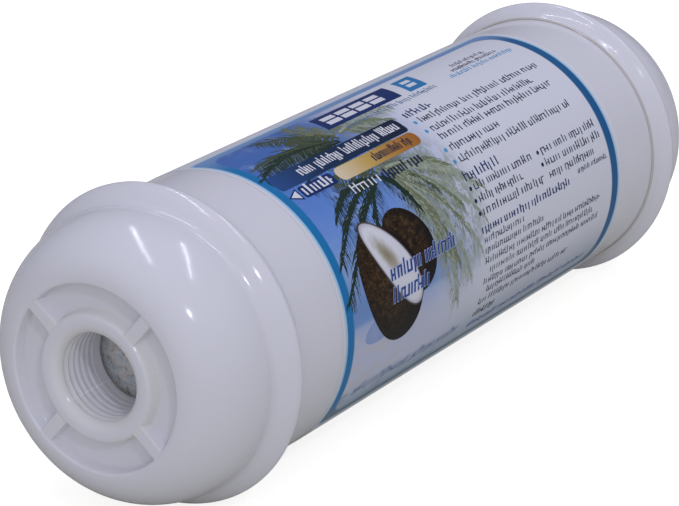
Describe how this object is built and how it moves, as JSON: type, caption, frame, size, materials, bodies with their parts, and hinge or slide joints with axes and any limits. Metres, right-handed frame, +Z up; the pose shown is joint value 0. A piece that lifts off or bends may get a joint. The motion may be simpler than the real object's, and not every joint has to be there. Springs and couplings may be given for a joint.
{
  "type": "inline water filter",
  "caption": "Cylindrical inline water filter cartridge with domed, flanged end caps, a female threaded port in each end, a printed wrap label and a granular carbon bed between pads inside",
  "frame": {"origin": "on the floor under the middle of the filter, which lies on the rims of its two cap flanges", "axes": "+X along the filter's axis from outlet to inlet, against the flow; +Y sideways, away from the printed panel; +Z up"},
  "size_m": [0.174, 0.0574, 0.0574],
  "materials": {
    "polypropylene": "semi-gloss injection-moulded white polypropylene, faintly lavender grey",
    "label_vinyl": "satin printed white vinyl film, blue scenic print fading to white",
    "foam": "open-cell charcoal grey polyurethane foam",
    "felt": "needle-punched off-white polypropylene felt",
    "mesh_cloth": "woven translucent nylon mesh cloth",
    "carbon": "loose black granules of activated carbon"
  },
  "bodies": {
    "root": {"housing_tube": "polypropylene", "outlet_cap": "polypropylene", "inlet_cap": "polypropylene", "inlet_spreader_plate": "polypropylene", "label": "label_vinyl", "outlet_foam_pad": "foam", "inlet_foam_pad": "foam", "outlet_felt_pad": "felt", "inlet_felt_pad": "felt", "outlet_mesh_screen": "mesh_cloth", "carbon_bed": "carbon"}
  },
  "joints": []
}
